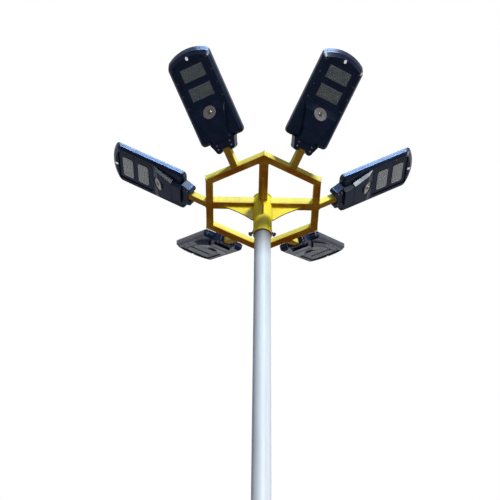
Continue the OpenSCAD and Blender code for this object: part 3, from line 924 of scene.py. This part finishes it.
SLEEVE_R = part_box("hub_sleeve")[1].x
POLE_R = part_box("pole")[1].x
SPOKE_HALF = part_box("spoke_front")[1].x
_fins = points("hub_gussets")
GUSSET_HALF = _fins[_fins[:, 0] > SLEEVE_R + MM][:, 1].max()
GUSSET_END, GUSSET_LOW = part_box("hub_gussets")[1].x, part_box("hub_gussets")[0].z
_nuts = points("set_nuts")
NUT_Z, NUT_R = (_nuts[:, 2].min() + _nuts[:, 2].max()) / 2, (_nuts[:, 2].max() - _nuts[:, 2].min()) / 2
BASE_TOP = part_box("base_plate")[1].z
_ribs = points("base_ribs")
RIB_HALF = _ribs[_ribs[:, 0] > POLE_R + MM][:, 1].max()
RIB_END, RIB_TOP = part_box("base_ribs")[1].x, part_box("base_ribs")[1].z
LIFT = 0.5 * MM  # how far the middle of a weld stands off the corner that it fills
RIB_GAP = 9 * MM  # from a rib's inner corner to the start of its welds


def turned(lines, by):
    """Lines turned about the pole by an angle."""
    turn = Matrix.Rotation(by, 4, "Z")
    return [([turn @ Vector(p) for p in line], closed) for line, closed in lines]


def around(lines, count):
    """The same lines at each of count equal turns about the pole."""
    return [line for i in range(count) for line in turned(lines, math.tau * i / count)]


def spoke_at_sleeve():
    """The weld round a spoke's inner end."""
    low, high, side = RING_Z - SPOKE_HALF, RING_Z + SPOKE_HALF, SPOKE_HALF
    r = SLEEVE_R + LIFT
    x = lambda s: math.sqrt(max(r * r - s * s, 0))
    loop = [(x(s), s, high) for s in steps(-side, side)] + [(x(side), side, z) for z in steps(high, low)]
    loop += [(x(s), s, low) for s in steps(side, -side)] + [(x(side), -side, z) for z in steps(low, high)]
    return loop, True


def spoke_at_ring(corner):
    """The weld round a spoke's outer end, on a ring side's middle or in a corner of the ring."""
    slope = math.tan(PLACE_STEP / 2) if corner else 0
    start = RING_INNER / math.cos(PLACE_STEP / 2) if corner else RING_INNER
    x = lambda s: start - abs(s) * slope - LIFT
    side = SPOKE_HALF + LIFT
    loop = [(x(s), s, RING_TOP) for s in steps(-side, side)]
    loop += [(x(side), side, z) for z in steps(RING_TOP, RING_LOW)]
    loop += [(x(s), s, RING_LOW) for s in steps(side, -side)]
    loop += [(x(side), -side, z) for z in steps(RING_LOW, RING_TOP)]
    return loop, True


def gusset_lines():
    """The welds of a gusset, down the sleeve and along the spoke, on both its faces."""
    x = math.sqrt(SLEEVE_R ** 2 - GUSSET_HALF ** 2) + LIFT
    top = RING_Z - SPOKE_HALF - LIFT
    lines = []
    for side in (-GUSSET_HALF - LIFT, GUSSET_HALF + LIFT):
        lines.append(([(x, side, z) for z in steps(top, GUSSET_LOW)], False))
        lines.append(([(r, side, top) for r in steps(x, GUSSET_END)], False))
    return lines


def arm_at_ring():
    """The weld of a lamp arm on the ring, down both its sides and underneath."""
    x, y = RING_FACE + LIFT, ARM_HALF + 0.3 * MM
    low, high = max(ARM_LOW, RING_LOW + LIFT), min(ARM_HIGH, RING_TOP)
    line = [(x, -y, z) for z in steps(high, low)] + [(x, s, low) for s in steps(-y, y)]
    return line + [(x, y, z) for z in steps(low, high)], False


def mitre():
    """The weld where two ring sides meet, along the bottom, up the outside and along the top."""
    inner, outer = (r / math.cos(PLACE_STEP / 2) for r in (RING_INNER, RING_FACE))
    inner, outer = inner + 4 * MM, outer - 3 * MM
    low, high = RING_LOW - 0.2 * MM, RING_TOP + 0.2 * MM
    line = [(r, 0, low) for r in steps(inner, outer)] + [(outer + 2 * MM, 0, z) for z in steps(low, high)]
    line += [(r, 0, high) for r in steps(outer, inner)]
    return turned([(line, False)], PLACE_STEP / 2)[0]


def nut_rings():
    """The welds round the two nuts, on the sleeve between the spokes."""
    flat = ring_of(NUT_R + 0.6 * MM, 0, 32)
    spots = [(math.sqrt(SLEEVE_R ** 2 - p.x ** 2) + 0.3 * MM, p.x, NUT_Z + p.y) for p in flat]
    return [turned([(spots, True)], SPOKE_STEP * (i + 0.5))[0] for i in (0, 1)]


def rib_lines():
    """The welds of a base rib, along the plate and up the pole, on both its faces."""
    low, x = BASE_TOP + LIFT, math.sqrt(POLE_R ** 2 - RIB_HALF ** 2) + LIFT
    lines = []
    for side in (-RIB_HALF - LIFT, RIB_HALF + LIFT):
        lines.append(([(r, side, low) for r in steps(x + RIB_GAP, RIB_END)], False))
        lines.append(([(x, side, z) for z in steps(low + RIB_GAP, RIB_TOP)], False))
    return lines


# --- Operators, one for each piece or group of like pieces ---

ROUND = 96  # sides of a large turned shape
KEY_AWAY, CARDS_AWAY = 8.0, 5.0
CARDS_MEET = Vector((0, 0, RING_Z + 0.2))
CARDS = (  # name, direction from where they meet, width and height, share of the card strength, chip
    ("right card", (0.93, 0.02, 0.26), (1.1, 1.1), 1.0, (255, 238, 210)),
    ("front card", (0.19, -0.98, -0.03), (1.7, 1.5), 3.2, (255, 230, 190)),
    ("high card", (0.02, -0.66, 0.76), (4.2, 2.0), 1.0, (190, 224, 255)),
)


class LIGHTPOLE_OT_stage(Operator):
    """Set the pale floor, the even light, the key light and the camera"""

    bl_idname = "lightpole.stage"
    bl_label = "Floor, lights and camera"

    def execute(self, context):
        stage, scene = context.scene.light_pole_stage, context.scene
        scene.view_settings.view_transform = "Standard"
        rim = [(stage.floor_radius, -MM), (stage.floor_radius, 0)]
        floor = bpy.data.objects.new("floor", to_mesh(lathe(rim, ROUND), "floor"))
        scene.collection.objects.link(floor)
        floor.data.transform(Matrix.Translation((0, 0, CAD_BOX[0].z)))
        floor.data.materials.append(self.floor_finish(stage))
        self.even_light(scene, stage)
        way = Vector((math.sin(stage.sun_turn) * math.cos(stage.sun_rise),
                      -math.cos(stage.sun_turn) * math.cos(stage.sun_rise), math.sin(stage.sun_rise)))
        key = bpy.data.lights.new("key light", "SUN")
        key.energy, key.angle = stage.sun_power, stage.sun_size
        self.aim(scene, key, way * KEY_AWAY, -way)
        spared = bpy.data.collections.new(NO_CARDS)
        for name, way, size, share, chip in CARDS:
            light = bpy.data.lights.new(name, "AREA")
            light.shape, light.size, light.size_y, light.color = "ELLIPSE", *size, tone(*chip)
            light.energy = stage.card_power * share * size[0] * size[1]
            card = self.aim(scene, light, CARDS_MEET + Vector(way) * CARDS_AWAY, -Vector(way))
            card.visible_diffuse = False
            card.light_linking.receiver_collection = spared
        self.camera(scene, stage)
        return {"FINISHED"}

    def aim(self, scene, light, spot, way):
        """Puts a light at a spot, shining a way."""
        obj = bpy.data.objects.new(light.name, light)
        obj.location = spot
        obj.rotation_euler = way.to_track_quat("-Z", "Y").to_euler()
        scene.collection.objects.link(obj)
        return obj

    def seen_directly(self, tree):
        """1 for a look from the camera or in a reflection, 0 for light that falls on the object."""
        path = put(tree, "ShaderNodeLightPath").outputs
        mirror = larger(tree, path["Is Glossy Ray"], path["Is Transmission Ray"])
        return larger(tree, path["Is Camera Ray"], mirror)

    def floor_finish(self, stage):
        """Pale and faintly clouded; the light that it throws back is dimmer and warmer."""
        material, tree, shader = new_finish("Floor")
        cloud = ramp(tree, noise(tree, place_in(tree), 0.8, 3.0), 0.3, 0.7)
        pale = blend(tree, cloud, toned(stage.floor, 0.985), solid(stage.floor))
        shade = blend(tree, self.seen_directly(tree), solid(FLOOR_BOUNCE), pale)
        tree.links.new(shade, shader.inputs["Base Color"])
        shader.inputs["Roughness"].default_value = 0.9
        return material

    def even_light(self, scene, stage):
        """A pale blue light from all round, white where it is seen."""
        world = bpy.data.worlds.new("Even light")
        world.use_nodes = True
        scene.world = world
        tree = world.node_tree
        sky = tree.nodes["Background"]
        seen = self.seen_directly(tree)
        tree.links.new(blend(tree, seen, solid(SKY_TINT), WHITE), sky.inputs["Color"])
        tree.links.new(between(tree, seen, stage.fill_power, 1.0), sky.inputs["Strength"])

    def camera(self, scene, stage):
        """The camera, turned by its pan, pitch and roll."""
        right = Vector((math.cos(stage.pan), -math.sin(stage.pan), 0))
        level = math.cos(stage.pitch)
        ahead = Vector((math.sin(stage.pan) * level, math.cos(stage.pan) * level, math.sin(stage.pitch)))
        up = right.cross(ahead)
        c, s = math.cos(stage.roll), math.sin(stage.roll)
        right, up = c * right + s * up, c * up - s * right
        eye = bpy.data.cameras.new("camera")
        eye.lens, eye.sensor_width = stage.lens, 36  # millimetres
        obj = bpy.data.objects.new("camera", eye)
        obj.matrix_world = Matrix.Translation(stage.eye) @ Matrix((right, up, -ahead)).transposed().to_4x4()
        scene.collection.objects.link(obj)
        scene.camera = obj


class LIGHTPOLE_OT_pole(Operator):
    """Make the painted pole tube and its base plate and ribs"""

    bl_idname = "lightpole.pole"
    bl_label = "Pole and base"

    def execute(self, context):
        low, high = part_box("pole")
        inner = np.hypot(*points("pole")[:, :2].T).min()
        edge = detail().fine_round
        levels = steps(low.z + edge, high.z - edge, 24)
        outline = [(inner, low.z), (POLE_R - edge, low.z)] + [(POLE_R, z) for z in levels]
        outline += [(POLE_R - edge, high.z), (inner, high.z), (inner, low.z)]
        work = lathe(outline, ROUND, cap=False)
        bmesh.ops.remove_doubles(work, verts=work.verts, dist=SAME)
        piece("pole_tube", shaded(to_mesh(work, "pole_tube", "pole")), "white_paint", "pole")
        for node, name in (("base_plate", "anchor_plate"), ("base_ribs", "anchor_ribs")):
            work = copy_of(node)
            round_edges(work, detail().plate_round, segments=2)
            piece(name, shaded(to_mesh(work, name, "pole")), "white_paint", node)
        return {"FINISHED"}


class LIGHTPOLE_OT_hub(Operator):
    """Make the hub sleeve, its cap, gussets, nuts and set bolts"""

    bl_idname = "lightpole.hub"
    bl_label = "Hub"

    def execute(self, context):
        for node, name, coat_name, slot, share in (
            ("hub_sleeve", "sleeve", "hub", "yellow_paint", 1.0),
            ("hub_cap", "sleeve_cap", "hub", "yellow_paint", 1.0),
            ("hub_gussets", "gussets", "hub", "yellow_paint", 1.0),
            ("set_nuts", "welded_nuts", "bolt", "bolt_steel", 0.6),
            ("set_bolts", "locking_bolts", "bolt", "bolt_steel", 0.6),
        ):
            work = copy_of(node)
            round_edges(work, detail().plate_round * share, segments=2, sharper=45)
            piece(name, shaded(to_mesh(work, name, coat_name)), slot, node)
        return {"FINISHED"}


class LIGHTPOLE_OT_frame(Operator):
    """Make the spokes, the six ring sides and the lamp arms with their rounded tube corners"""

    bl_idname = "lightpole.frame"
    bl_label = "Spokes, ring and arms"

    def execute(self, context):
        shortest = 70 * MM  # a tube's long corners are longer, and the edges of its ends shorter
        tubes = {node: node + "_tube" for node in
                 [f"spoke_{s}" for s in SPOKES] + [f"ring_side_{p}" for p in PLACES]}
        for node, name in {**tubes, "lamp_arms": "lamp_arm_tubes"}.items():
            work = copy_of(node)
            round_edges(work, detail().tube_round, sharper=60, wanted=lambda e: e.calc_length() > shortest)
            piece(name, shaded(to_mesh(work, name, "frame")), "yellow_paint", node)
        return {"FINISHED"}


class LIGHTPOLE_OT_welds(Operator):
    """Run the weld beads of the hub, the frame and the base"""

    bl_idname = "lightpole.welds"
    bl_label = "Welds"

    def execute(self, context):
        lines = around([spoke_at_sleeve(), *gusset_lines()], len(SPOKES)) + nut_rings()
        lines += around([spoke_at_ring(corner=False)], 2)
        lines += turned(around([spoke_at_ring(corner=True)], 2), SPOKE_STEP)
        lines += around([arm_at_ring(), mitre()], len(PLACES))
        lines.append((ring_of(SLEEVE_R + LIFT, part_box("hub_cap")[0].z - LIFT), True))
        base = around(rib_lines(), 4) + [(ring_of(POLE_R + MM, BASE_TOP + LIFT), True)]
        for name, paths, coat_name, slot, wide in (("frame_welds", lines, "frame", "yellow_paint", 1.0),
                                                   ("base_welds", base, "pole", "white_paint", 1.3)):
            mesh = grown(name, path_mesh(paths, name), weld_tree, Width=detail().bead_width * wide,
                         Pitch=detail().bead_pitch * wide, Seed=detail().seed, Finish=coat(coat_name))
            piece(name, mesh, slot)
        return {"FINISHED"}


def rim_line(level):
    """The outline of a housing at a height in the lamp's frame, in order."""
    work = lamp_solid("housing")
    cut = bmesh.ops.bisect_plane(work, geom=work.verts[:] + work.edges[:] + work.faces[:], dist=SAME / 10,
                                 plane_co=(0, 0, level), plane_no=(0, 0, 1))["geom_cut"]
    edges = dict.fromkeys(e for e in cut if isinstance(e, bmesh.types.BMEdge))  # keeps their order
    loops = []
    while edges:
        first, _ = edges.popitem()
        line, tip = [first.verts[0], first.verts[1]], first.verts[1]
        while True:
            onward = [e for e in tip.link_edges if e in edges]
            if not onward:
                break
            del edges[onward[0]]
            tip = onward[0].other_vert(tip)
            line.append(tip)
        loops.append([v.co.copy() for v in line[:-1]])
    work.free()
    return max(loops, key=lambda line: max(p.x for p in line) - min(p.x for p in line))


class LIGHTPOLE_OT_housings(Operator):
    """Make the six lamp housings with rounded casting edges, their rim gasket and window trim"""

    bl_idname = "lightpole.housings"
    bl_label = "Lamp housings"

    def execute(self, context):
        work = lamp_solid("housing")
        round_edges(work, detail().casting_round, sharper=22)
        shell = shaded(to_mesh(work, "housing", "casting"), 50)
        seam = HOUSING_TOP - detail().seam_level * (HOUSING_TOP - BELLY_Z)
        gasket = grown("gasket", path_mesh([(rim_line(seam), True)], "gasket"), strip_tree,
                       Width=detail().seam_width * 0.5, Height=detail().seam_width, Finish=coat("gasket"))
        half, r = WINDOW_HIGH.y, detail().window_round
        window = []
        for x, y, start in ((WINDOW_HIGH.x - r, half - r, 0), (WINDOW_LOW.x + r, half - r, 90),
                            (WINDOW_LOW.x + r, r - half, 180), (WINDOW_HIGH.x - r, r - half, 270)):
            for turn in (math.radians(start + t) for t in range(0, 91, 10)):
                window.append(Vector((x + r * math.cos(turn), y + r * math.sin(turn), BELLY_Z)))
        trim = grown("trim", path_mesh([(window, True)], "trim"), strip_tree, Width=detail().trim_width,
                     Height=detail().trim_width * 0.7, Finish=coat("casting"))
        for p in PLACES:
            on_lamp(p, "casting", shell, "lamp_casting", "housing")
            on_lamp(p, "rim_gasket", gasket, "lamp_casting")
            on_lamp(p, "window_trim", trim, "lamp_casting")
        return {"FINISHED"}


class LIGHTPOLE_OT_brackets(Operator):
    """Make the six lamp brackets with rounded casting edges"""

    bl_idname = "lightpole.brackets"
    bl_label = "Lamp brackets"

    def execute(self, context):
        work = lamp_solid("bracket")
        round_edges(work, detail().casting_round, sharper=35)
        shape = shaded(to_mesh(work, "bracket", "casting"), 50)
        for p in PLACES:
            on_lamp(p, "clamp", shape, "lamp_casting", "bracket")
        return {"FINISHED"}


class LIGHTPOLE_OT_panels(Operator):
    """Make the six solar panels with their cells"""

    bl_idname = "lightpole.panels"
    bl_label = "Solar panels"

    def execute(self, context):
        work = lamp_solid("solar_panel")
        round_edges(work, detail().fine_round, segments=2, sharper=45)
        mesh = to_mesh(work, "panel", "panel")
        margin = Vector((6 * MM, 6 * MM, 0))
        low, size = PANEL_LOW + margin, PANEL_HIGH - PANEL_LOW - 2 * margin
        flat = mesh.uv_layers.new(name="Panel")
        for loop in mesh.loops:
            spot = mesh.vertices[loop.vertex_index].co
            flat.data[loop.index].uv = ((spot.x - low.x) / size.x, (spot.y - low.y) / size.y)
        mesh = shaded(mesh)
        for p in PLACES:
            keep_cards_off(on_lamp(p, "panel", mesh, "solar_glass", "solar_panel"))
        return {"FINISHED"}


class LIGHTPOLE_OT_lenses(Operator):
    """Make the lens plates and their rows of small lenses"""

    bl_idname = "lightpole.lenses"
    bl_label = "Lens plates"

    def execute(self, context):
        work = lamp_solid("lens_plates")
        round_edges(work, detail().fine_round, segments=2, sharper=45)
        plates = shaded(to_mesh(work, "plates", "lens"))
        size, pitch = detail().lens_size, detail().lens_pitch
        long, wide = PLATE_X[1] - PLATE_X[0], PLATE_HIGH.y - PLATE_LOW.y
        along, across = int((long - size) // pitch), int((wide - size) // pitch)
        grid = grown("lens_grid", path_mesh([], "lens spots"), lens_tree, Length=along * pitch,
                     Width=across * pitch, Along=along + 1, Across=across + 1, Lens=size,
                     Height=detail().lens_height, Finish=coat("lenslet"))
        under = Matrix.Diagonal((1, -1, -1, 1))
        both = merged([placed(grid, Matrix.Translation(((a + b) / 2, 0, PLATE_LOW.z)) @ under)
                       for a, b in (PLATE_X[:2], PLATE_X[2:])], "lens_grids")
        both.polygons.foreach_set("use_smooth", [True] * len(both.polygons))
        for p in PLACES:
            on_lamp(p, "lens_boards", plates, "lens_plastic", "lens_plates")
            keep_cards_off(on_lamp(p, "small_lenses", both, "lens_plastic"))
        return {"FINISHED"}


class LIGHTPOLE_OT_sensors(Operator):
    """Make the motion sensors: a pale bezel round a dark faceted eye, and the indicator by the nose"""

    bl_idname = "lightpole.sensors"
    bl_label = "Motion sensors"

    def execute(self, context):
        work = copy_of("motion_sensors")
        round_edges(work, detail().fine_round, segments=2)
        bezels = shaded(to_mesh(work, "sensor_bezels", "bezel"))
        piece("sensor_bezels", bezels, "sensor_plastic", "motion_sensors")
        middle = Vector((SENSOR.min(0) + SENSOR.max(0)) / 2)
        face = np.sort(SENSOR @ np.array(SENSOR_WAY))[-12:].mean()  # the outermost corners lie on the face
        centre = middle + SENSOR_WAY * (face - middle @ SENSOR_WAY)
        radius, rise, sunk = 12.5 * MM, 5 * MM, 3 * MM
        outline = [(radius, -sunk), (radius, 0)] + [
            (radius * math.cos(t), rise * math.sin(t)) for t in map(math.radians, (20, 40, 60, 78))]
        eye = shaded(to_mesh(lathe(outline, 24), "eye", "eye", place=seat(centre, SENSOR_WAY)), 12)
        eyes = merged([placed(eye, m) for m in LAMP_AT.values()], "sensor_eyes")
        piece("sensor_eyes", eyes, "sensor_plastic")
        oval = [(0.5, 0.0), (0.5, 0.10), (0.42, 0.17), (0.25, 0.2)]
        size = Matrix.Diagonal((21 * MM, 15 * MM, 8 * MM, 1))
        spot = Vector(((WINDOW_HIGH.x + BELLY_TIP) / 2 + 1.5 * MM, 0, BELLY_Z))
        light = shaded(to_mesh(lathe(oval, 24), "indicator", "indicator",
                               place=seat(spot, Vector((0, 0, -1))) @ size), 60)
        lights = merged([placed(light, m) for m in LAMP_AT.values()], "indicators")
        lights.polygons.foreach_set("use_smooth", [True] * len(lights.polygons))
        piece("indicator_windows", lights, "sensor_plastic")
        return {"FINISHED"}


class LIGHTPOLE_OT_screws(Operator):
    """Set the screws of the lens boards, the housings and the brackets"""

    bl_idname = "lightpole.screws"
    bl_label = "Screws"

    def execute(self, context):
        head = bpy.data.objects.new("screw_head", to_mesh(screw_head(), "screw_head"))
        context.scene.collection.objects.link(head)
        down, up = Vector((0, 0, -1)), Vector((0, 0, 1))
        inset = 4 * MM
        boards = [(Vector((x, y, PLATE_LOW.z)), down) for a, b in (PLATE_X[:2], PLATE_X[2:])
                  for x in (a + inset, b - inset) for y in (PLATE_LOW.y + inset, PLATE_HIGH.y - inset)]
        first, last = WINDOW_LOW.x + 10 * MM, WINDOW_HIGH.x - 18 * MM
        margin = (WINDOW_HIGH.y + BELLY_HALF) / 2
        shell = [(Vector((x, side * margin, BELLY_Z)), down)
                 for side in (-1, 1) for x in steps(first, last, 3)]
        ear_x, apart = BRACKET_LOW.x + 22 * MM, 24 * MM
        ear_y = (BRACKET_HIGH.y + ARM_HALF) / 2 - 8 * MM
        clamps = [(Vector((x, side * ear_y, level)), way) for side in (-1, 1) for x in (ear_x, ear_x + apart)
                  for level, way in ((BRACKET_LOW.z, down), (BRACKET_HIGH.z, up))]
        for name, spots, size in (("board_screws", boards, detail().screw_size * 0.75),
                                  ("housing_screws", shell, detail().screw_size),
                                  ("clamp_screws", clamps, detail().clamp_size)):
            mesh = path_mesh([([m @ spot for m in LAMP_AT.values() for spot, _ in spots], False)], name)
            facing = mesh.attributes.new("facing", "FLOAT_VECTOR", "POINT")
            for i, way in enumerate(m.to_3x3() @ way for m in LAMP_AT.values() for _, way in spots):
                facing.data[i].vector = way
            made = grown(name, mesh, screw_tree, Head=head, Size=size, Finish=coat("screw"))
            piece(name, shaded(made, 35), "bolt_steel")
        bpy.data.objects.remove(head)
        return {"FINISHED"}


# --- Sidebar and running order ---

STEPS = (LIGHTPOLE_OT_stage, LIGHTPOLE_OT_pole, LIGHTPOLE_OT_hub, LIGHTPOLE_OT_frame, LIGHTPOLE_OT_welds,
         LIGHTPOLE_OT_housings, LIGHTPOLE_OT_brackets, LIGHTPOLE_OT_panels, LIGHTPOLE_OT_lenses,
         LIGHTPOLE_OT_sensors, LIGHTPOLE_OT_screws)


class VIEW3D_PT_light_pole(Panel):
    """The steps that dress the light pole, with their sizes and colours"""

    bl_label = "Light Pole"
    bl_idname = "VIEW3D_PT_light_pole"
    bl_space_type = "VIEW_3D"
    bl_region_type = "UI"
    bl_category = "Light Pole"

    def draw(self, context):
        for step in STEPS:
            self.layout.operator(step.bl_idname)
        for settings in (finish(), detail(), context.scene.light_pole_stage):
            box = self.layout.box()
            for name in type(settings).__annotations__:
                box.prop(settings, name)


CLASSES = (LightPoleFinish, LightPoleDetail, LightPoleStage, *STEPS, VIEW3D_PT_light_pole)


def register():
    for c in CLASSES:
        bpy.utils.register_class(c)
    bpy.types.Scene.light_pole_finish = PointerProperty(type=LightPoleFinish)
    bpy.types.Scene.light_pole_detail = PointerProperty(type=LightPoleDetail)
    bpy.types.Scene.light_pole_stage = PointerProperty(type=LightPoleStage)


def unregister():
    del bpy.types.Scene.light_pole_finish, bpy.types.Scene.light_pole_detail, bpy.types.Scene.light_pole_stage
    for c in reversed(CLASSES):
        bpy.utils.unregister_class(c)


def main():
    register()
    for step in STEPS:
        family, name = step.bl_idname.split(".")
        getattr(getattr(bpy.ops, family), name)()


if __name__ == "__main__":
    main()
